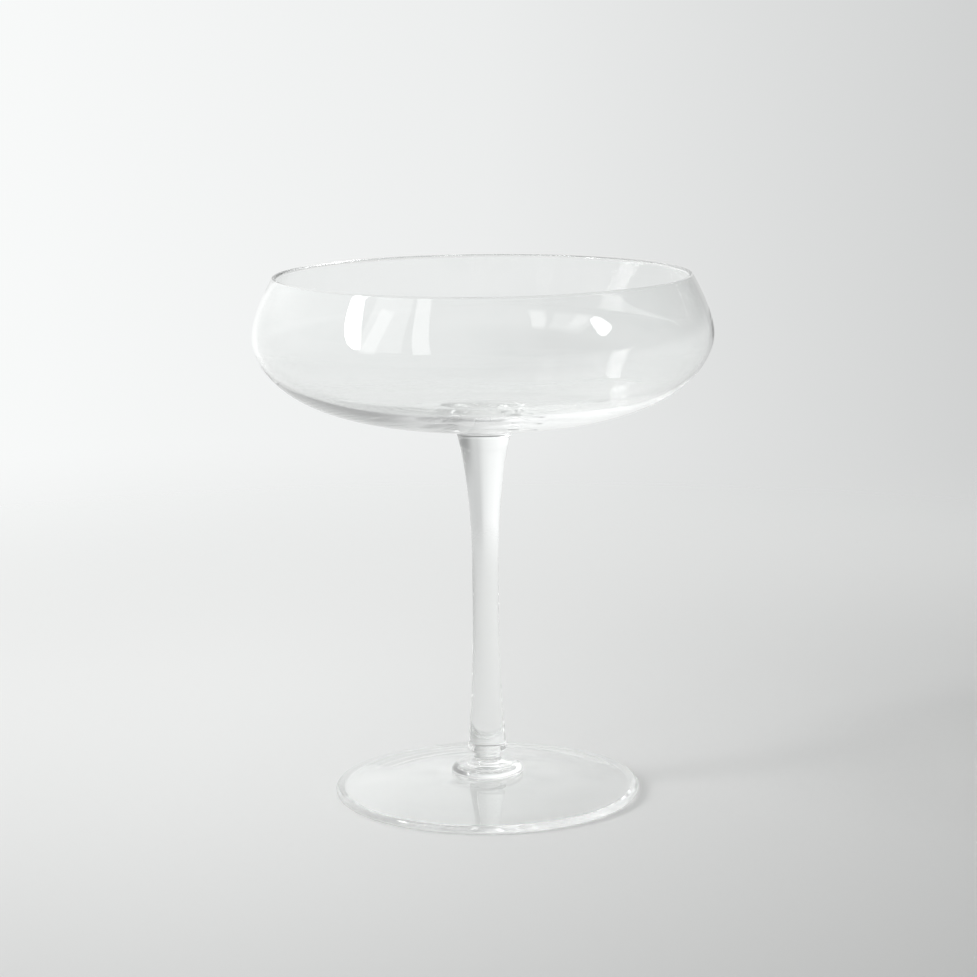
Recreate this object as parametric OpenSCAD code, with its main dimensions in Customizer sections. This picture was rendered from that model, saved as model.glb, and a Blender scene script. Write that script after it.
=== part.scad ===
// Coupe glass: a shallow blown bowl on a drawn stem, a small collar and a round foot.
// Each gather of glass is a solid of revolution. They sit on one another on flat welds.
// All sizes are in millimetres. The glass stands on the plane z = 0, with its axis on +Z.

/* [Overall] */
// Height of the glass from the table to its rim
glass_h = 140; // [125:1:170]

/* [Bowl] */
// Outside diameter of the mouth
mouth_d = 110.5; // [102:0.5:116]
// Outside diameter of the bowl at its widest level
bowl_d = 121.5; // [114:0.5:132]
// Depth of the bowl outside, from the rim to the seat of the stem
bowl_depth = 39; // [34:1:50]
// Depth of the widest level below the rim
belly_drop = 15.7; // [13:0.1:20]
// Height over which the lip leans inwards
lip_run = 10.2; // [6:0.1:12]
// Thickness of the wall from the rim to the widest level
bowl_wall = 1.2; // [0.8:0.1:2.4]
// Thickness of the floor over the seat of the stem
bowl_floor = 3.4; // [2.8:0.1:5]
// Pull of the shoulder under the widest level, from pointed to full
shoulder_pull = 0.3; // [0.2:0.01:0.36]
// Pull of the underside towards the shoulder, from conical to flat
floor_pull = 0.825; // [0.8:0.005:0.9]
// Diameter of the flat floor inside
well_d = 44; // [36:1:48]
// Pull of the inside towards the shoulder, from conical to flat
well_pull = 0.8; // [0.66:0.01:0.82]

/* [Stem] */
// Diameter of the stem at its waist
waist_d = 7; // [5:0.1:9]
// Height of the waist above the table
waist_h = 52; // [40:1:65]
// Diameter of the stem where its flare starts under the bowl
shank_d = 14; // [11:0.1:18]
// Radius of the flare under the bowl
flare_r = 4; // [2:0.1:8]
// Diameter of the stem's heel on the collar
heel_d = 10.5; // [9.4:0.1:14]
// Radius of the heel's rounded lower edge
heel_round = 0.5; // [0.2:0.1:1]

/* [Collar] */
// Diameter of the collar's rounded ring
collar_d = 19.3; // [16:0.1:26]
// Height of the collar from the foot to the stem's heel
collar_h = 5.9; // [5.4:0.1:9]
// Radius of the rounded edge of the ring
ring_r = 2.2; // [1:0.1:2.5]
// Diameter of the neck under the stem's heel
neck_d = 7.2; // [5.6:0.1:7.2]
// Length of the straight neck
neck_run = 2.8; // [1:0.1:2.8]

/* [Foot] */
// Diameter of the foot
foot_d = 82; // [70:1:100]
// Thickness of the foot at its rounded edge
foot_edge = 2.3; // [1.6:0.1:3.2]
// Height of the foot's top under the collar
foot_h = 5.6; // [4.8:0.1:8]
// Swell of the foot's top between its edge and the collar, from hollow to full
foot_swell = 0.7; // [0.4:0.05:0.8]
// Width of the flat ring that the glass rests on
rest_w = 1.5; // [1:0.1:8]
// Height of the hollow under the middle of the foot
hollow_h = 3.4; // [1:0.1:3.8]

/* [Hidden] */
$fn = 128;
glass_tint = [0.84, 0.92, 0.91, 0.4];

// Points along a long curve, along a short curve, and along an arc
long_steps = 24;
short_steps = 10;
arc_steps = 8;

// Powers of the curves that swell from the waist to the bowl and from the waist to the heel
shank_power = 3;
heel_power = 2.2;

// Angle along the flare at which the stem is welded to the stub under the bowl
weld_angle = 50;

// Radii
mouth_r = mouth_d / 2;
bowl_r = bowl_d / 2;
well_r = well_d / 2;
waist_r = waist_d / 2;
shank_r = shank_d / 2;
heel_r = heel_d / 2;
collar_r = collar_d / 2;
neck_r = neck_d / 2;
foot_r = foot_d / 2;

// Levels, from the rim down
belly_z = glass_h - belly_drop;
seat_z = glass_h - bowl_depth;
flare_z = seat_z - flare_r;
inner_floor_z = seat_z + bowl_floor;
heel_z = foot_h + collar_h;
heel_top_z = heel_z + heel_round;

// The lip leans in, and its rim is a round bead across the wall
lip_lean = atan2(bowl_r - mouth_r, lip_run);
lip_normal = [cos(lip_lean), sin(lip_lean)];
bead_r = bowl_wall / 2;
bead_centre = [mouth_r - bead_r, glass_h - bead_r];

// Points of a curve pulled from a to c by b
function pulled(a, b, c, n) =
    [for (i = [0 : n]) let (t = i / n) (1 - t) ^ 2 * a + 2 * t * (1 - t) * b + t ^ 2 * c];

// Points of a curve from a to d that leaves a towards b and reaches d from c
function swept(a, b, c, d, n) =
    [for (i = [0 : n]) let (t = i / n)
        (1 - t) ^ 3 * a + 3 * t * (1 - t) ^ 2 * b + 3 * t ^ 2 * (1 - t) * c + t ^ 3 * d];

// Points of an arc, or of an ellipse when r holds two radii, from one angle to another
function arc(centre, r, from, to, n) =
    [for (i = [0 : n]) let (a = from + (to - from) * i / n, rr = is_list(r) ? r : [r, r])
        centre + [rr[0] * cos(a), rr[1] * sin(a)]];

// A list without its first point, for joining curves end to end
function after(points) = [for (i = [1 : len(points) - 1]) points[i]];

// A list in the other direction
function backwards(points) = [for (i = [len(points) - 1 : -1 : 0]) points[i]];

// Radius of the stem at a share of the way from its heel up to its waist
function heel_curve(share) = waist_r + (heel_r - waist_r) * pow(1 - share, heel_power);

// Radius of the stem at level z above its waist
function shank_curve(z) =
    waist_r + (shank_r - waist_r) * pow((z - waist_h) / (flare_z - waist_h), shank_power);

// Point of the flare at an angle: 0 is upright on the stem, 90 lies flat against the bowl
function flare_point(a) =
    let (z = flare_z + flare_r * sin(a)) [shank_curve(z) + flare_r * (1 - cos(a)), z];
function flare(from, to, n) = [for (i = [0 : n]) flare_point(from + (to - from) * i / n)];
seat_r = flare_point(90)[0];
weld = flare_point(weld_angle);

// The lip on one side of the wall, from the rim down to the widest level: 1 is outside, -1 inside
function lip(side) =
    let (
        end = bead_centre + side * bead_r * lip_normal,
        belly = bowl_r - bead_r + side * bead_r,
        pull_z = end[1] - (belly - end[0]) / tan(lip_lean)
    )
    pulled(end, [belly, pull_z], [belly, belly_z], short_steps);

// The wall below the widest level, from a radius there down to the edge of a flat floor
function shell(radius, flat_r, floor_z, pull) =
    swept([radius, belly_z], [radius, belly_z - shoulder_pull * (belly_z - seat_z)],
        [flat_r + pull * (radius - flat_r), floor_z], [flat_r, floor_z], long_steps);

module bowl() {
    outside = concat(lip(1), after(shell(bowl_r, seat_r, seat_z, floor_pull)));
    well = after(shell(bowl_r - bowl_wall, well_r, inner_floor_z, well_pull));
    inside = concat(lip(-1), well, [[0, inner_floor_z]]);
    stub = concat(after(flare(90, weld_angle, arc_steps)), [[0, weld[1]]]);
    bead = arc(bead_centre, bead_r, lip_lean + 180, lip_lean, arc_steps);
    rim = [for (i = [1 : arc_steps - 1]) bead[i]];
    color(glass_tint)
        rotate_extrude()
            polygon(concat(outside, stub, backwards(inside), rim));
}

module stem() {
    heel = arc([heel_r - heel_round, heel_top_z], heel_round, -90, 0, arc_steps);
    lower = [for (i = [1 : short_steps]) let (share = i / short_steps)
        [heel_curve(share), heel_top_z + (waist_h - heel_top_z) * share]];
    upper = [for (i = [1 : short_steps]) let (z = waist_h + (flare_z - waist_h) * i / short_steps)
        [shank_curve(z), z]];
    head = after(flare(0, weld_angle, arc_steps));
    color(glass_tint)
        rotate_extrude()
            polygon(concat([[0, heel_z]], heel, lower, upper, head, [[0, weld[1]]]));
}

module collar() {
    crown_r = collar_r - ring_r;
    run_z = heel_z - neck_run;
    ring = arc([crown_r, foot_h], ring_r, 0, 90, arc_steps);
    hollow = arc([crown_r, run_z], [crown_r - neck_r, run_z - foot_h - ring_r], 270, 180, arc_steps);
    color(glass_tint)
        rotate_extrude()
            polygon(concat([[0, foot_h]], ring, after(hollow), [[neck_r, heel_z], [0, heel_z]]));
}

module foot() {
    round_r = foot_edge / 2;
    edge_r = foot_r - round_r;
    rest_r = edge_r - rest_w;
    hollow = [for (i = [0 : short_steps]) let (s = i / short_steps) [rest_r * s, hollow_h * (1 - s ^ 2)]];
    edge = arc([edge_r, round_r], round_r, -90, 90, arc_steps);
    pull = [(edge_r + collar_r) / 2, foot_edge + foot_swell * (foot_h - foot_edge)];
    top = after(pulled([edge_r, foot_edge], pull, [collar_r, foot_h], long_steps));
    color(glass_tint)
        rotate_extrude()
            polygon(concat(hollow, edge, top, [[0, foot_h]]));
}

bowl();
stem();
collar();
foot();
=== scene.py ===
"""Coupe glass in clear blown glass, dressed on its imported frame.

The glass is made of four gathers that were fused while hot: a shallow bowl with an in-leaning lip,
a drawn stem, a small collar and a round foot. Each gather is a surface of revolution: a profile of
radius and height, carried once around the upright axis, with the faint waves that blowing leaves.
The faces where two gathers have fused are see-through, so that light runs on from one to the next.
Lengths are in metres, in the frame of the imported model.
"""

import logging
import math
from abc import ABC, abstractmethod
from dataclasses import dataclass
from enum import Enum
from typing import Any

import bpy
import numpy as np
from mathutils import Matrix, Vector


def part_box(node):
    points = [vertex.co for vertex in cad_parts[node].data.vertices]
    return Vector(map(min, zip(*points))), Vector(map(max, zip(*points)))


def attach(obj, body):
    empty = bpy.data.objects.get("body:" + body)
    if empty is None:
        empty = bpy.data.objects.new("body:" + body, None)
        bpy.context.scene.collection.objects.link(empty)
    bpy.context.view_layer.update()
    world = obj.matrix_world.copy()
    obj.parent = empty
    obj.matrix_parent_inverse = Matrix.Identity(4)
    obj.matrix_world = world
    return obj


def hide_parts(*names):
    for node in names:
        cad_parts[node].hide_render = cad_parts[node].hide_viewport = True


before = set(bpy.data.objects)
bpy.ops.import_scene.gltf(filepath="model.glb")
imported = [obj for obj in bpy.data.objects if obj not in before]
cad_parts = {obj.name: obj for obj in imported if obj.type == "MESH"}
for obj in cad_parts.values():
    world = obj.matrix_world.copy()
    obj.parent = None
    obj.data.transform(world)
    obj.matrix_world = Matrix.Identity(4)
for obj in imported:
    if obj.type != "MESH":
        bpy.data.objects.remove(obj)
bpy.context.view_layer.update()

LOG = logging.getLogger("coupe_glass")

MM = 0.001
BODY = "root"

# Columns around the axis, and points along a long, a short and a rounded stretch of a profile
COLUMNS = 256
LONG_STEPS = 110
SHORT_STEPS = 36
ARC_STEPS = 18
WELD_STEPS = 6

# Times that light may turn on its way through the glass
LIGHT_TURNS = 200

# A profile that turns by more than this at one point has a sharp edge there
CREASE_ANGLE = math.radians(24)

# A ray's kind is 0 or 1, and counts as 1 from a little below it
FLAG = (0.0, 0.9)

Colour = tuple[float, float, float]
Span = tuple[float, float]


class Zone(Enum):
    """What a band of a gather's surface is in the finished glass, by its material slot."""

    SKIN = 0
    WELD = 1


class Grain(Enum):
    """How a gather was worked: the share of its streaks that run around and along the axis."""

    SPUN = (0.5, 1.0)
    DRAWN = (2.4, 0.12)


class PaneShape(Enum):
    """Outline of a window pane, by the name that the lamp knows it by."""

    RECTANGLE = "RECTANGLE"
    ELLIPSE = "ELLIPSE"


# Curves of a profile


def pulled(start: np.ndarray, pull: np.ndarray, end: np.ndarray, steps: int) -> np.ndarray:
    """Curves from start to end, drawn towards a pull: (1-t)^2 start + 2t(1-t) pull + t^2 end.

    Args:
        start: First point, as radius and height.
        pull: Point that the middle of the curve is drawn to.
        end: Last point.
        steps: Number of bands along the curve.

    Returns:
        Points of the curve, one row each.
    """
    t = np.linspace(0.0, 1.0, steps + 1)[:, None]
    return (1 - t) ** 2 * start + 2 * t * (1 - t) * pull + t**2 * end


def swept(
    start: np.ndarray, leave: np.ndarray, reach: np.ndarray, end: np.ndarray, steps: int
) -> np.ndarray:
    """Curves from start towards leave, and from reach into end, by the four cubic weights of t.

    Args:
        start: First point, as radius and height.
        leave: Point that the curve sets out towards.
        reach: Point that the curve comes in from.
        end: Last point.
        steps: Number of bands along the curve.

    Returns:
        Points of the curve, one row each.
    """
    t = np.linspace(0.0, 1.0, steps + 1)[:, None]
    u = 1 - t
    return u**3 * start + 3 * t * u**2 * leave + 3 * t**2 * u * reach + t**3 * end


def arc(
    centre: np.ndarray, radii: tuple[float, float], first: float, last: float, steps: int
) -> np.ndarray:
    """Goes round an ellipse: centre + (radius_r cos a, radius_z sin a), with a from first to last.

    Args:
        centre: Middle of the ellipse, as radius and height.
        radii: Half widths of the ellipse along the radius and along the height.
        first: Angle of the first point, in radians.
        last: Angle of the last point.
        steps: Number of bands along the arc.

    Returns:
        Points of the arc, one row each.
    """
    a = np.linspace(first, last, steps + 1)
    return centre + np.column_stack((radii[0] * np.cos(a), radii[1] * np.sin(a)))


def line(start: np.ndarray, end: np.ndarray, steps: int) -> np.ndarray:
    """Gives evenly spaced points on the straight line from start to end."""
    return np.linspace(start, end, steps + 1)


def point(radius: float, height: float) -> np.ndarray:
    """Gives one point of a profile."""
    return np.array((radius, height))


@dataclass(frozen=True)
class Stretch:
    """One stretch of a profile, and what the bands along it are."""

    points: np.ndarray
    zone: Zone = Zone.SKIN


@dataclass(frozen=True)
class Profile:
    """A closed half section of a gather, from its lower pole round its outside to its upper pole."""

    points: np.ndarray
    zones: np.ndarray

    @classmethod
    def joined(cls, stretches: list[Stretch]) -> "Profile":
        """Joins stretches end to end, each one starting where the last one ended.

        Args:
            stretches: Stretches in order from the lower pole to the upper one.

        Returns:
            The whole profile, with one zone for each band.
        """
        points = np.concatenate([stretches[0].points[:1]] + [s.points[1:] for s in stretches])
        zones = np.concatenate([np.full(len(s.points) - 1, s.zone.value) for s in stretches])
        return cls(points, zones)

    def run(self) -> np.ndarray:
        """Gives the distance of each point along the profile."""
        return np.concatenate(([0.0], np.cumsum(np.linalg.norm(np.diff(self.points, axis=0), axis=1))))

    def normals(self) -> np.ndarray:
        """Gives the outward direction at each point: the tangent turned clockwise by a right angle."""
        tangent = np.gradient(self.points, axis=0)
        outward = np.column_stack((tangent[:, 1], -tangent[:, 0]))
        return outward / np.linalg.norm(outward, axis=1, keepdims=True)

    def creases(self) -> np.ndarray:
        """Tells for each point whether the profile turns sharply there."""
        steps = np.diff(self.points, axis=0)
        heading = np.unwrap(np.arctan2(steps[:, 1], steps[:, 0]))
        return np.concatenate(([False], np.abs(np.diff(heading)) > CREASE_ANGLE, [False]))

    def freedom(self, fade: float) -> np.ndarray:
        """Weighs how free each point is to wave: 0 on a weld or the axis, 1 further off than a fade."""
        run = self.run()
        held = np.concatenate((self.zones, self.zones[-1:])) == Zone.WELD.value
        held[1:] |= self.zones == Zone.WELD.value
        held |= self.points[:, 0] <= 0.0
        share = np.clip(np.abs(run[:, None] - run[held]).min(axis=1) / fade, 0.0, 1.0)
        return share**2 * (3 - 2 * share)


@dataclass(frozen=True)
class Waves:
    """Faint waves that the blowing and the tools leave in the skin of a gather."""

    depth: float
    length: float
    seed: int
    turns: tuple[int, ...] = (2, 3, 5, 8)
    fade: float = 12 * MM

    def offsets(self, profile: Profile, angles: np.ndarray) -> np.ndarray:
        """Works out how far the skin stands out: the sum over n of depth/n cos(n angle + run + phase).

        Args:
            profile: Half section of the gather.
            angles: Angle of each column around the axis.

        Returns:
            Offset along the skin's normal, for each point of the profile and each column.
        """
        turns = np.array(self.turns, float)
        draw = np.random.default_rng(self.seed)
        phase = draw.uniform(0.0, 2 * np.pi, len(turns))
        pitch = draw.uniform(0.6, 1.4, len(turns)) * 2 * np.pi / self.length
        along = profile.run()[:, None, None] * pitch
        waves = np.cos(turns * angles[None, :, None] + along + phase) / turns
        return self.depth * profile.freedom(self.fade)[:, None] * waves.sum(axis=2)


def revolved(name: str, profile: Profile, waves: Waves) -> bpy.types.Object:
    """Carries a profile once around the axis: (r cos a, r sin a, z), with its waves along the normal.

    Args:
        name: Name of the piece.
        profile: Half section of the gather, with both ends on the axis.
        waves: Waves of its skin.

    Returns:
        The piece, smooth apart from its creases, with a material index for each zone.
    """
    angles = np.linspace(0.0, 2 * np.pi, COLUMNS, endpoint=False)
    offsets = waves.offsets(profile, angles)
    normals = profile.normals()
    radius = profile.points[:, :1] + offsets * normals[:, :1]
    height = profile.points[:, 1:] + offsets * normals[:, 1:]
    grid = np.stack((radius * np.cos(angles), radius * np.sin(angles), height), axis=2)

    rings = len(profile.points) - 2
    vertices = np.concatenate((grid[:1, 0], grid[1:-1].reshape(-1, 3), grid[-1:, 0]))
    column = np.arange(COLUMNS)
    after = (column + 1) % COLUMNS
    first = 1 + np.arange(rings)[:, None] * COLUMNS
    top = rings * COLUMNS + 1
    low, high = first[:-1], first[1:]
    quads = np.stack((low + column, low + after, high + after, high + column), axis=2).reshape(-1, 4)
    bottom_fan = np.column_stack((np.zeros_like(column), 1 + after, 1 + column))
    top_fan = np.column_stack((first[-1] + column, first[-1] + after, np.full_like(column, top)))

    mesh = bpy.data.meshes.new(name)
    mesh.from_pydata(vertices.tolist(), [], bottom_fan.tolist() + quads.tolist() + top_fan.tolist())
    mesh.polygons.foreach_set("material_index", np.repeat(profile.zones, COLUMNS).astype(np.int32))
    mesh.polygons.foreach_set("use_smooth", np.ones(len(mesh.polygons), bool))

    ends = np.empty(len(mesh.edges) * 2, np.int32)
    mesh.edges.foreach_get("vertices", ends)
    ring = (ends.reshape(-1, 2) + COLUMNS - 1) // COLUMNS
    sharp = (ring[:, 0] == ring[:, 1]) & profile.creases()[np.clip(ring[:, 0], 0, rings + 1)]
    mesh.edges.foreach_set("use_edge_sharp", sharp)
    mesh.validate()
    mesh.update()

    piece = bpy.data.objects.new(name, mesh)
    bpy.context.scene.collection.objects.link(piece)
    return piece


# Shader maths


class Shade:
    """A value in a graph of nodes. Arithmetic on it adds Math nodes."""

    def __init__(self, graph: "Graph", socket: bpy.types.NodeSocket) -> None:
        """Wraps an output socket of a graph."""
        self.graph = graph
        self.socket = socket

    def _math(self, operation: str, first: "Shade | float", second: "Shade | float") -> "Shade":
        """Adds one Math node on two values."""
        return self.graph.add("ShaderNodeMath", {"operation": operation}, {0: first, 1: second})

    def __add__(self, other: "Shade | float") -> "Shade":
        """Adds a value."""
        return self._math("ADD", self, other)

    def __radd__(self, other: "Shade | float") -> "Shade":
        """Adds this to a value."""
        return self._math("ADD", other, self)

    def __sub__(self, other: "Shade | float") -> "Shade":
        """Takes a value away."""
        return self._math("SUBTRACT", self, other)

    def __rsub__(self, other: "Shade | float") -> "Shade":
        """Takes this away from a value."""
        return self._math("SUBTRACT", other, self)

    def __mul__(self, other: "Shade | float") -> "Shade":
        """Multiplies by a value."""
        return self._math("MULTIPLY", self, other)

    def __rmul__(self, other: "Shade | float") -> "Shade":
        """Multiplies a value by this."""
        return self._math("MULTIPLY", other, self)

    def __pow__(self, other: "Shade | float") -> "Shade":
        """Raises to a power."""
        return self._math("POWER", self, other)

    def smooth(self, low: float, high: float) -> "Shade":
        """Rises smoothly from 0 at low to 1 at high."""
        settings = {"interpolation_type": "SMOOTHSTEP"}
        return self.graph.add("ShaderNodeMapRange", settings, {0: self, 1: low, 2: high})


class Graph:
    """Adds nodes to the tree of a material or of the world."""

    def __init__(self, tree: bpy.types.NodeTree) -> None:
        """Starts from an empty tree."""
        self.tree = tree
        tree.nodes.clear()

    def add(
        self,
        kind: str,
        settings: dict[str, Any] | None = None,
        sockets: dict[str | int, Any] | None = None,
        output: str | int = 0,
    ) -> Shade:
        """Adds one node.

        Args:
            kind: Type of the node.
            settings: Properties, set first. "stops" gives a ramp's positions and colours.
            sockets: Values or links of the inputs, by name or number.
            output: Name or number of the output that is wanted.

        Returns:
            That output.
        """
        node = self.tree.nodes.new(kind)
        for name, value in (settings or {}).items():
            if name == "stops":
                self._set_stops(node.color_ramp, value)
            else:
                setattr(node, name, value)
        for key, value in (sockets or {}).items():
            if isinstance(value, Shade):
                self.tree.links.new(value.socket, node.inputs[key])
            else:
                node.inputs[key].default_value = value
        return Shade(self, node.outputs[output] if node.outputs else None)

    @staticmethod
    def _set_stops(ramp: bpy.types.ColorRamp, stops: list[tuple[float, Colour]]) -> None:
        """Gives a ramp its stops, each a position and a colour."""
        while len(ramp.elements) < len(stops):
            ramp.elements.new(1.0)
        for element, (position, colour) in zip(ramp.elements, stops):
            element.position = position
            element.color = (*colour, 1.0)

    def mixed(self, factor: Shade | float, first: Any, second: Any) -> Shade:
        """Mixes two colours by a factor."""
        return self.add("ShaderNodeMix", {"data_type": "RGBA"}, {0: factor, 6: first, 7: second}, 2)

    def axes(self, vector: Shade) -> tuple[Shade, Shade, Shade]:
        """Gives the three coordinates of a vector."""
        apart = self.add("ShaderNodeSeparateXYZ", sockets={0: vector}).socket.node
        return tuple(Shade(self, socket) for socket in apart.outputs)


def new_material(name: str) -> tuple[bpy.types.Material, Graph]:
    """Makes a material and the graph of its nodes."""
    material = bpy.data.materials.new(name)
    material.use_nodes = True
    return material, Graph(material.node_tree)


# Finishes


@dataclass(frozen=True)
class ClearGlass:
    """Clear blown glass: polished, a breath of green, with streaks and a trace of haze from handling."""

    grain: Grain
    tint: Colour = (0.995, 1.0, 0.997)
    streak_tint: Colour = (0.974, 0.984, 0.979)
    ior: float = 1.5
    polish: float = 0.0
    haze: float = 0.02
    haze_scale: float = 38.0
    haze_detail: float = 4.0
    haze_span: Span = (0.55, 0.8)
    streak_scale: float = 150.0
    streak_detail: float = 2.0
    streak_roughness: float = 0.45
    streak_span: Span = (0.5, 0.8)
    streak_depth: float = 0.008 * MM

    def material(self) -> bpy.types.Material:
        """Makes the material.

        The streaks are noise on (x, y, height + radius), stretched along the way the gather was worked.
        They tint the glass and lift its skin by a few microns. The haze is a slow noise that starts
        above its own mean, so that most of the skin stays polished.

        Returns:
            The material.
        """
        material, graph = new_material(f"clear_glass_{self.grain.name.lower()}")
        place = graph.add("ShaderNodeTexCoord", output="Object")
        x, y, z = graph.axes(place)
        radius = (x * x + y * y) ** 0.5
        around, along = self.grain.value
        spread = graph.add(
            "ShaderNodeCombineXYZ", sockets={0: x * around, 1: y * around, 2: (z + radius) * along}
        )
        streak = graph.add(
            "ShaderNodeTexNoise",
            sockets={
                "Vector": spread,
                "Scale": self.streak_scale,
                "Detail": self.streak_detail,
                "Roughness": self.streak_roughness,
            },
        )
        cloud = graph.add(
            "ShaderNodeTexNoise",
            sockets={"Vector": place, "Scale": self.haze_scale, "Detail": self.haze_detail},
        )
        streaked = streak.smooth(*self.streak_span)
        bump = graph.add(
            "ShaderNodeBump", sockets={"Strength": 1.0, "Distance": self.streak_depth, "Height": streak}
        )
        shader = graph.add(
            "ShaderNodeBsdfPrincipled",
            sockets={
                "Base Color": graph.mixed(streaked, (*self.tint, 1.0), (*self.streak_tint, 1.0)),
                "Roughness": self.polish + self.haze * cloud.smooth(*self.haze_span),
                "IOR": self.ior,
                "Transmission Weight": 1.0,
                "Normal": bump,
            },
        )
        graph.add("ShaderNodeOutputMaterial", sockets={"Surface": shader})
        return material


@dataclass(frozen=True)
class FusedGlass:
    """The face where two gathers have fused: no skin is left there, so light runs straight through."""

    tint: Colour = (0.995, 1.0, 0.997)

    def material(self) -> bpy.types.Material:
        """Makes the see-through material."""
        material, graph = new_material("fused_glass")
        shader = graph.add(
            "ShaderNodeBsdfPrincipled", sockets={"Base Color": (*self.tint, 1.0), "Alpha": 0.0}
        )
        graph.add("ShaderNodeOutputMaterial", sockets={"Surface": shader})
        return material


# Gathers of glass


@dataclass(frozen=True)
class Shank:
    """The line of the stem above its waist, which flares out and lies down against the bowl."""

    seat_z: float
    waist_z: float = 52 * MM
    waist_r: float = 3.5 * MM
    shank_r: float = 7 * MM
    flare_r: float = 4 * MM
    weld_angle: float = math.radians(50)
    power: float = 3.0

    @property
    def flare_z(self) -> float:
        """Gives the level where the flare starts."""
        return self.seat_z - self.flare_r

    def radius(self, z: np.ndarray) -> np.ndarray:
        """Gives the radius at a level: the waist's, plus a swell by a power of the way up to the flare."""
        share = (z - self.waist_z) / (self.flare_z - self.waist_z)
        return self.waist_r + (self.shank_r - self.waist_r) * share**self.power

    def flare(self, first: float, last: float, steps: int) -> np.ndarray:
        """Follows the flare: a quarter circle added to the swelling line of the shank.

        Args:
            first: Angle of the first point, 0 where it is upright, a right angle where it lies flat.
            last: Angle of the last point.
            steps: Number of bands.

        Returns:
            Points of the flare, one row each.
        """
        a = np.linspace(first, last, steps + 1)
        z = self.flare_z + self.flare_r * np.sin(a)
        return np.column_stack((self.radius(z) + self.flare_r * (1 - np.cos(a)), z))

    @property
    def weld(self) -> np.ndarray:
        """Gives the edge of the weld between the stem and the bowl's stub."""
        return self.flare(self.weld_angle, self.weld_angle, 1)[0]

    @property
    def seat_r(self) -> float:
        """Gives the radius at which the flare has run into the bowl."""
        return float(self.flare(math.pi / 2, math.pi / 2, 1)[0, 0])


class Gather(ABC):
    """One gather of glass, which stands for one node of the frame."""

    node: str
    grain: Grain
    waves: Waves

    @abstractmethod
    def profile(self) -> Profile:
        """Gives the half section from the lower pole to the upper one."""

    def build(self) -> bpy.types.Object:
        """Builds the mesh, and sets it in place of its node."""
        piece = revolved(f"blown_{self.node}", self.profile(), self.waves)
        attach(piece, BODY)
        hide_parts(self.node)
        return piece

    def dress(self, piece: bpy.types.Object, fused: bpy.types.Material) -> None:
        """Gives the skin its glass and the welds the fused material.

        Args:
            piece: The gather's mesh.
            fused: Material of the welds.
        """
        piece.data.materials.append(ClearGlass(self.grain).material())
        piece.data.materials.append(fused)


@dataclass(frozen=True)
class Bowl(Gather):
    """The shallow bowl: a thin wall that swells to its belly, an in-leaning lip and a round rim."""

    rim_z: float
    belly_r: float
    shank: Shank
    mouth_r: float = 55.25 * MM
    belly_drop: float = 15.7 * MM
    lip_run: float = 10.2 * MM
    wall: float = 1.2 * MM
    floor: float = 3.4 * MM
    shoulder_pull: float = 0.3
    floor_pull: float = 0.825
    well_r: float = 22 * MM
    well_pull: float = 0.8
    node: str = "bowl"
    grain: Grain = Grain.SPUN
    waves: Waves = Waves(depth=0.06 * MM, length=30 * MM, seed=4)

    def lip(self, side: int) -> np.ndarray:
        """Follows the lip on one side of the wall, from the rim down to the belly.

        It leaves the round rim on a straight lean and is pulled upright at the belly.

        Args:
            side: 1 for the outside of the wall, -1 for its inside.

        Returns:
            Points of the lip, one row each.
        """
        bead = self.wall / 2
        end = self.rim_centre + side * bead * point(math.cos(self.lean), math.sin(self.lean))
        belly = self.belly_r - bead + side * bead
        pull_z = end[1] - (belly - end[0]) / math.tan(self.lean)
        return pulled(end, point(belly, pull_z), point(belly, self.belly_z), SHORT_STEPS)

    def shell(self, radius: float, flat_r: float, floor_z: float, pull: float) -> np.ndarray:
        """Follows the wall below the belly down to the edge of a flat floor.

        Args:
            radius: Radius at the belly.
            flat_r: Radius of the flat floor.
            floor_z: Level of the floor.
            pull: Share of the way to the shoulder by which the floor is pulled flat.

        Returns:
            Points of the wall, one row each.
        """
        return swept(
            point(radius, self.belly_z),
            point(radius, self.belly_z - self.shoulder_pull * (self.belly_z - self.shank.seat_z)),
            point(flat_r + pull * (radius - flat_r), floor_z),
            point(flat_r, floor_z),
            LONG_STEPS,
        )

    @property
    def belly_z(self) -> float:
        """Gives the level at which the bowl is widest."""
        return self.rim_z - self.belly_drop

    @property
    def lean(self) -> float:
        """Gives the angle by which the lip leans in."""
        return math.atan2(self.belly_r - self.mouth_r, self.lip_run)

    @property
    def rim_centre(self) -> np.ndarray:
        """Gives the middle of the round rim."""
        return point(self.mouth_r - self.wall / 2, self.rim_z - self.wall / 2)

    def profile(self) -> Profile:
        """Runs from the weld up the stub and the outside, over the rim and down to the inner floor."""
        weld = self.shank.weld
        inner_z = self.shank.seat_z + self.floor
        bead = (self.wall / 2, self.wall / 2)
        rim = arc(self.rim_centre, bead, self.lean, self.lean + math.pi, ARC_STEPS)
        outside = self.shell(self.belly_r, self.shank.seat_r, self.shank.seat_z, self.floor_pull)
        return Profile.joined([
            Stretch(line(point(0, weld[1]), weld, WELD_STEPS), Zone.WELD),
            Stretch(self.shank.flare(self.shank.weld_angle, math.pi / 2, ARC_STEPS)),
            Stretch(outside[::-1]),
            Stretch(self.lip(1)[::-1]),
            Stretch(rim),
            Stretch(self.lip(-1)),
            Stretch(self.shell(self.belly_r - self.wall, self.well_r, inner_z, self.well_pull)),
            Stretch(line(point(self.well_r, inner_z), point(0, inner_z), SHORT_STEPS)),
        ])


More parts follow.
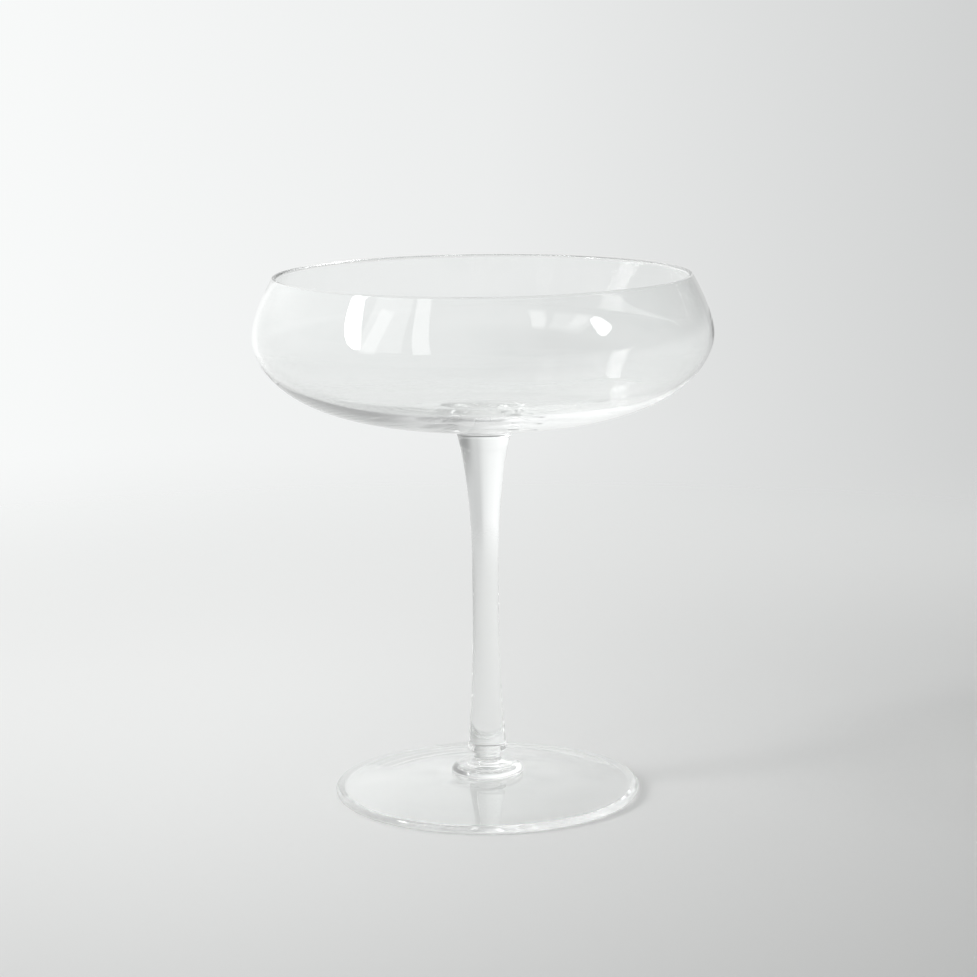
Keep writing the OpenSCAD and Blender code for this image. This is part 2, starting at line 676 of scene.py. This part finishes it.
@dataclass(frozen=True)
class Stem(Gather):
    """The drawn stem: a round heel, a slim waist, and a swell into the flare under the bowl."""

    heel_z: float
    shank: Shank
    heel_r: float = 5.25 * MM
    heel_round: float = 0.5 * MM
    neck_r: float = 3.6 * MM
    heel_power: float = 2.2
    node: str = "stem"
    grain: Grain = Grain.DRAWN
    waves: Waves = Waves(depth=0.03 * MM, length=40 * MM, seed=11)

    def heel(self) -> np.ndarray:
        """Follows the stem from its heel to its waist, thinning by a power of the way that is left."""
        top_z = self.heel_z + self.heel_round
        share = np.linspace(0.0, 1.0, LONG_STEPS + 1)
        radius = self.shank.waist_r + (self.heel_r - self.shank.waist_r) * (1 - share) ** self.heel_power
        return np.column_stack((radius, top_z + (self.shank.waist_z - top_z) * share))

    def profile(self) -> Profile:
        """Runs from the weld on the collar up the heel, the waist and the flare to the weld on the bowl."""
        weld = self.shank.weld
        neck = point(self.neck_r, self.heel_z)
        round_centre = point(self.heel_r - self.heel_round, self.heel_z + self.heel_round)
        round_r = (self.heel_round, self.heel_round)
        upper_z = np.linspace(self.shank.waist_z, self.shank.flare_z, LONG_STEPS + 1)
        return Profile.joined([
            Stretch(line(point(0, self.heel_z), neck, WELD_STEPS), Zone.WELD),
            Stretch(line(neck, point(round_centre[0], self.heel_z), WELD_STEPS)),
            Stretch(arc(round_centre, round_r, -math.pi / 2, 0, ARC_STEPS)),
            Stretch(self.heel()),
            Stretch(np.column_stack((self.shank.radius(upper_z), upper_z))),
            Stretch(self.shank.flare(0, self.shank.weld_angle, ARC_STEPS)),
            Stretch(line(weld, point(0, weld[1]), WELD_STEPS), Zone.WELD),
        ])


@dataclass(frozen=True)
class Collar(Gather):
    """The small collar: a rounded ring on the foot that draws in to a short neck."""

    low_z: float
    high_z: float
    edge_r: float
    ring_r: float = 2.2 * MM
    neck_r: float = 3.6 * MM
    neck_run: float = 2.8 * MM
    node: str = "collar"
    grain: Grain = Grain.SPUN
    waves: Waves = Waves(depth=0.03 * MM, length=9 * MM, seed=5, fade=3 * MM)

    def profile(self) -> Profile:
        """Runs from the weld on the foot round the ring and up the hollow to the weld under the stem."""
        crown_r = self.edge_r - self.ring_r
        run_z = self.high_z - self.neck_run
        hollow = (crown_r - self.neck_r, run_z - self.low_z - self.ring_r)
        neck = point(self.neck_r, self.high_z)
        return Profile.joined([
            Stretch(line(point(0, self.low_z), point(self.edge_r, self.low_z), WELD_STEPS), Zone.WELD),
            Stretch(arc(point(crown_r, self.low_z), (self.ring_r, self.ring_r), 0, math.pi / 2, ARC_STEPS)),
            Stretch(arc(point(crown_r, run_z), hollow, 1.5 * math.pi, math.pi, ARC_STEPS)),
            Stretch(line(point(self.neck_r, run_z), neck, WELD_STEPS)),
            Stretch(line(neck, point(0, self.high_z), WELD_STEPS), Zone.WELD),
        ])


@dataclass(frozen=True)
class Foot(Gather):
    """The round foot: a rounded edge, a top that rises to the collar, and a hollow underneath."""

    edge_out_r: float
    top_z: float
    weld_r: float
    edge: float = 2.3 * MM
    rest_w: float = 1.5 * MM
    hollow_h: float = 3.4 * MM
    swell: float = 0.7
    node: str = "foot"
    grain: Grain = Grain.SPUN
    waves: Waves = Waves(depth=0.05 * MM, length=24 * MM, seed=8, fade=9 * MM)

    def hollow(self, rest_r: float) -> np.ndarray:
        """Follows the hollow from the axis to the ring it rests on: height falls by the radius squared."""
        share = np.linspace(0.0, 1.0, SHORT_STEPS + 1)
        return np.column_stack((rest_r * share, self.hollow_h * (1 - share**2)))

    def top(self, edge_r: float) -> np.ndarray:
        """Follows the top from the edge to the collar, pulled up half way by the swell."""
        pull = point((edge_r + self.weld_r) / 2, self.edge + self.swell * (self.top_z - self.edge))
        return pulled(point(edge_r, self.edge), pull, point(self.weld_r, self.top_z), LONG_STEPS)

    def profile(self) -> Profile:
        """Runs from the hollow over the rest and round the edge, and up the top to the collar's weld."""
        round_r = self.edge / 2
        edge_r = self.edge_out_r - round_r
        rest_r = edge_r - self.rest_w
        weld = point(self.weld_r, self.top_z)
        return Profile.joined([
            Stretch(self.hollow(rest_r)),
            Stretch(line(point(rest_r, 0), point(edge_r, 0), SHORT_STEPS)),
            Stretch(arc(point(edge_r, round_r), (round_r, round_r), -math.pi / 2, math.pi / 2, ARC_STEPS)),
            Stretch(self.top(edge_r)),
            Stretch(line(weld, point(0, self.top_z), WELD_STEPS), Zone.WELD),
        ])


# Surroundings


@dataclass(frozen=True)
class Tabletop:
    """The pale table under the glass, with painted shade to the front and right, which fades into the
    background with distance.
    """

    radius: float = 0.62
    fade_start: float = 0.2
    drop: float = 0.25 * MM
    colour: Colour = (0.865, 0.865, 0.86)
    # Painted shade: the spans and depths of the darkening painted into the table to the front and right
    front_shade_span: Span = (-0.82, 0.15)
    shade_to_right: float = 0.38
    right_shade_span: Span = (-0.1, 0.28)
    far_shade_relief: float = 0.7
    far_shade_span: Span = (0.05, 0.4)

    def build(self) -> bpy.types.Object:
        """Builds a flat disc, one face with its corners at (r cos a, r sin a), just below the foot."""
        angles = np.linspace(0.0, 2 * np.pi, COLUMNS, endpoint=False)
        level = np.full(COLUMNS, -self.drop)
        rim = np.column_stack((self.radius * np.cos(angles), self.radius * np.sin(angles), level))
        mesh = bpy.data.meshes.new("tabletop")
        mesh.from_pydata(rim.tolist(), [], [list(range(COLUMNS))])
        table = bpy.data.objects.new("tabletop", mesh)
        bpy.context.scene.collection.objects.link(table)
        table.data.materials.append(self.material())
        return table

    def material(self) -> bpy.types.Material:
        """Makes a matt pale finish with painted shade, darker to the front and right, and see-through far
        away.
        """
        material, graph = new_material("pale_tabletop")
        x, y, _ = graph.axes(graph.add("ShaderNodeTexCoord", output="Object"))
        away = ((x * x + y * y) ** 0.5).smooth(self.fade_start, self.radius)
        # Painted shade: darker to the right, less so far off, and darker to the front, in place of the
        # window light falling off
        right_shade = self.shade_to_right * (1 - self.far_shade_relief * y.smooth(*self.far_shade_span))
        painted_shade = y.smooth(*self.front_shade_span) * (1 - right_shade * x.smooth(*self.right_shade_span))
        shaded = graph.mixed(painted_shade, (0.0, 0.0, 0.0, 1.0), (*self.colour, 1.0))
        matt = graph.add("ShaderNodeBsdfDiffuse", sockets={"Color": shaded})
        clear = graph.add("ShaderNodeBsdfTransparent")
        mixed = graph.add("ShaderNodeMixShader", sockets={0: away, 1: matt, 2: clear})
        graph.add("ShaderNodeOutputMaterial", sockets={"Surface": mixed})
        return material


@dataclass(frozen=True)
class Room:
    """The pale room: bright on the window's side, grey on the other, dim above and behind the viewer.

    The glass shows the room as it is. The matt table is lit by its even fill of light.
    """

    tint: Colour = (0.987, 1.0, 0.997)
    walls: tuple[tuple[float, float], ...] = (
        (0.0, 1.06),
        (0.25, 1.06),
        (0.36, 0.99),
        (0.42, 0.945),
        (0.5, 0.85),
        (0.59, 0.64),
        (0.68, 0.61),
        (1.0, 0.62),
    )
    behind_viewer: float = 0.8
    front_span: Span = (-0.5, 0.3)
    dark_corner: float = 0.52
    corner_up: Span = (-0.05, 0.15)
    corner_right: Span = (0.25, 0.55)
    far_wall_rise: float = 0.18
    rise_up: Span = (0.08, 0.3)
    rise_away: Span = (0.2, 0.7)
    ceiling: float = 0.25
    ceiling_far: float = 0.5
    ceiling_up: Span = (0.62, 0.95)
    ceiling_away: Span = (0.0, 0.5)
    fill: float = 0.845
    fill_behind: float = 0.85
    fill_above: float = 0.95
    fill_up: Span = (0.3, 0.8)

    def build(self) -> bpy.types.World:
        """Lights the world by direction: the room for the rays that see it, and its fill for the rest."""
        world = bpy.data.worlds.new("pale_room")
        world.use_nodes = True
        graph = Graph(world.node_tree)
        x, y, z = graph.axes(graph.add("ShaderNodeTexCoord", output="Generated"))
        stops = [(at, (level, level, level)) for at, level in self.walls]
        ramp = graph.add("ShaderNodeValToRGB", {"stops": stops}, {0: 0.5 + 0.5 * x})
        fill = self.fill_light(ramp, y, z)
        level = fill + self.seen(graph) * (self.picture(ramp, x, y, z) - fill)
        background = graph.add(
            "ShaderNodeBackground", sockets={"Color": (*self.tint, 1.0), "Strength": level}
        )
        graph.add("ShaderNodeOutputWorld", sockets={"Surface": background})
        bpy.context.scene.world = world
        return world

    def picture(self, ramp: Shade, x: Shade, y: Shade, z: Shade) -> Shade:
        """Works out the room that the glass shows.

        The walls follow the ramp from left to right. They are dimmer behind the viewer and on the
        right above the table, and paler high up on the far side. Above them is the ceiling, which is
        dark, and less so towards the far side.

        Args:
            ramp: Level of the walls.
            x: Direction to the right.
            y: Direction away from the viewer.
            z: Direction up.

        Returns:
            The level of light in that direction.
        """
        front = self.behind_viewer + (1 - self.behind_viewer) * y.smooth(*self.front_span)
        rise = 1 + self.far_wall_rise * z.smooth(*self.rise_up) * y.smooth(*self.rise_away)
        corner = 1 - self.dark_corner * z.smooth(*self.corner_up) * x.smooth(*self.corner_right)
        above = self.ceiling + (self.ceiling_far - self.ceiling) * y.smooth(*self.ceiling_away)
        up = z.smooth(*self.ceiling_up)
        return ramp * front * rise * corner * (1 - up) + above * up

    def fill_light(self, ramp: Shade, y: Shade, z: Shade) -> Shade:
        """Works out the even light that reaches the table.

        Args:
            ramp: Level of the walls.
            y: Direction away from the viewer.
            z: Direction up.

        Returns:
            The level of light in that direction.
        """
        front = self.fill_behind + (1 - self.fill_behind) * y.smooth(*self.front_span)
        up = z.smooth(*self.fill_up)
        return self.fill * (ramp * front * (1 - up) + self.fill_above * up)

    @staticmethod
    def seen(graph: Graph) -> Shade:
        """Tells a ray that sees the room, straight or by way of the glass, from one that left the table."""
        kinds = ("Is Camera Ray", "Is Glossy Ray", "Is Transmission Ray")
        camera, glossy, transmission = (graph.add("ShaderNodeLightPath", output=kind) for kind in kinds)
        scattered = graph.add("ShaderNodeLightPath", output="Diffuse Depth").smooth(*FLAG)
        return (camera + glossy + transmission).smooth(*FLAG) * (1 - scattered)


@dataclass(frozen=True)
class WindowPane:
    """A tall pane of soft window light, turned to the glass."""

    name: str
    azimuth: float
    width: float
    bottom: float
    top: float
    radiance: float
    lean: float = 0.0
    shape: PaneShape = PaneShape.RECTANGLE
    distance: float = 1.2

    @property
    def area(self) -> float:
        """Gives the area of the pane inside its outline."""
        share = math.pi / 4 if self.shape is PaneShape.ELLIPSE else 1.0
        return share * self.width * (self.top - self.bottom)

    def build(self) -> bpy.types.Object:
        """Hangs the pane at its azimuth, in degrees to the left of the viewer's side, and leans it.

        Returns:
            The pane. Its power is pi times its radiance times its area.
        """
        turn = math.radians(self.azimuth)
        away = Vector((-math.sin(turn), -math.cos(turn), 0.0))
        lamp = bpy.data.lights.new(self.name, "AREA")
        lamp.shape = self.shape.value
        lamp.size = self.width
        lamp.size_y = self.top - self.bottom
        lamp.energy = math.pi * self.radiance * self.area
        pane = bpy.data.objects.new(self.name, lamp)
        middle = away * self.distance + Vector((0, 0, (self.top + self.bottom) / 2))
        pane.matrix_basis = (
            Matrix.Translation(middle)
            @ away.to_track_quat("Z", "Y").to_matrix().to_4x4()
            @ Matrix.Rotation(math.radians(self.lean), 4, "Z")
        )
        pane.visible_camera = False
        bpy.context.scene.collection.objects.link(pane)
        return pane


@dataclass(frozen=True)
class Viewpoint:
    """The viewer: a little above the rim, looking down along +Y."""

    side: float = 1.06 * MM
    distance: float = 717.9 * MM
    height: float = 212.9 * MM
    pitch: float = 0.1792
    roll: float = -0.0105
    lens: float = 101.2
    sensor: float = 36.0
    nearest: float = 10 * MM

    def build(self) -> bpy.types.Object:
        """Sets up the camera and makes it the scene's."""
        camera = bpy.data.cameras.new("viewpoint")
        camera.lens = self.lens
        camera.sensor_width = self.sensor
        camera.clip_start = self.nearest
        viewer = bpy.data.objects.new("viewpoint", camera)
        tilt = Matrix.Rotation(math.pi / 2 - self.pitch, 4, "X")
        place = Matrix.Translation((self.side, -self.distance, self.height))
        viewer.matrix_world = place @ tilt @ Matrix.Rotation(self.roll, 4, "Z")
        bpy.context.scene.collection.objects.link(viewer)
        bpy.context.scene.camera = viewer
        return viewer


def gathers() -> list[Gather]:
    """Takes the sizes of the gathers from the frame's boxes.

    Returns:
        The bowl, the stem, the collar and the foot.
    """
    _, bowl_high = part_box("bowl")
    stem_low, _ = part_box("stem")
    collar_low, collar_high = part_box("collar")
    _, foot_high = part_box("foot")
    bowl_depth = 39 * MM
    shank = Shank(seat_z=bowl_high.z - bowl_depth)
    collar = Collar(low_z=collar_low.z, high_z=collar_high.z, edge_r=collar_high.x)
    return [
        Bowl(rim_z=bowl_high.z, belly_r=bowl_high.x, shank=shank),
        Stem(heel_z=stem_low.z, shank=shank),
        collar,
        Foot(edge_out_r=foot_high.x, top_z=foot_high.z, weld_r=collar.edge_r),
    ]


def window() -> list[WindowPane]:
    """Gives the panes of the window on the left: one bright, two dim, and a curtain between them."""
    return [
        WindowPane(
            "side_pane",
            azimuth=73,
            width=0.2,
            bottom=0.33,
            top=1.25,
            radiance=17.0,
            lean=28,
            shape=PaneShape.ELLIPSE,
        ),
        WindowPane("middle_pane", azimuth=57, width=0.17, bottom=0.28, top=1.1, radiance=0.9),
        WindowPane("near_pane", azimuth=34, width=0.19, bottom=0.36, top=1.6, radiance=1.5, lean=10),
        WindowPane("curtain", azimuth=54, width=0.5, bottom=0.36, top=1.5, radiance=0.7, lean=6),
    ]


def let_light_wander() -> None:
    """Lets light turn often enough inside the glass to find its way out of the rim and the edges."""
    cycles = bpy.context.scene.cycles
    cycles.max_bounces = LIGHT_TURNS
    cycles.glossy_bounces = LIGHT_TURNS
    cycles.transmission_bounces = LIGHT_TURNS
    cycles.transparent_max_bounces = LIGHT_TURNS
    cycles.blur_glossy = 0.0


def main() -> None:
    """Builds the viewpoint, the gathers of glass and the room around them."""
    logging.basicConfig(level=logging.INFO, format="%(name)s: %(message)s")
    bpy.context.scene.view_settings.view_transform = "Standard"
    let_light_wander()
    Viewpoint().build()

    fused = FusedGlass().material()
    for gather in gathers():
        piece = gather.build()
        gather.dress(piece, fused)
        LOG.info("%s: %d faces", piece.name, len(piece.data.polygons))

    Tabletop().build()
    Room().build()
    for pane in window():
        pane.build()
        LOG.info("%s hung", pane.name)


if __name__ == "__main__":
    main()
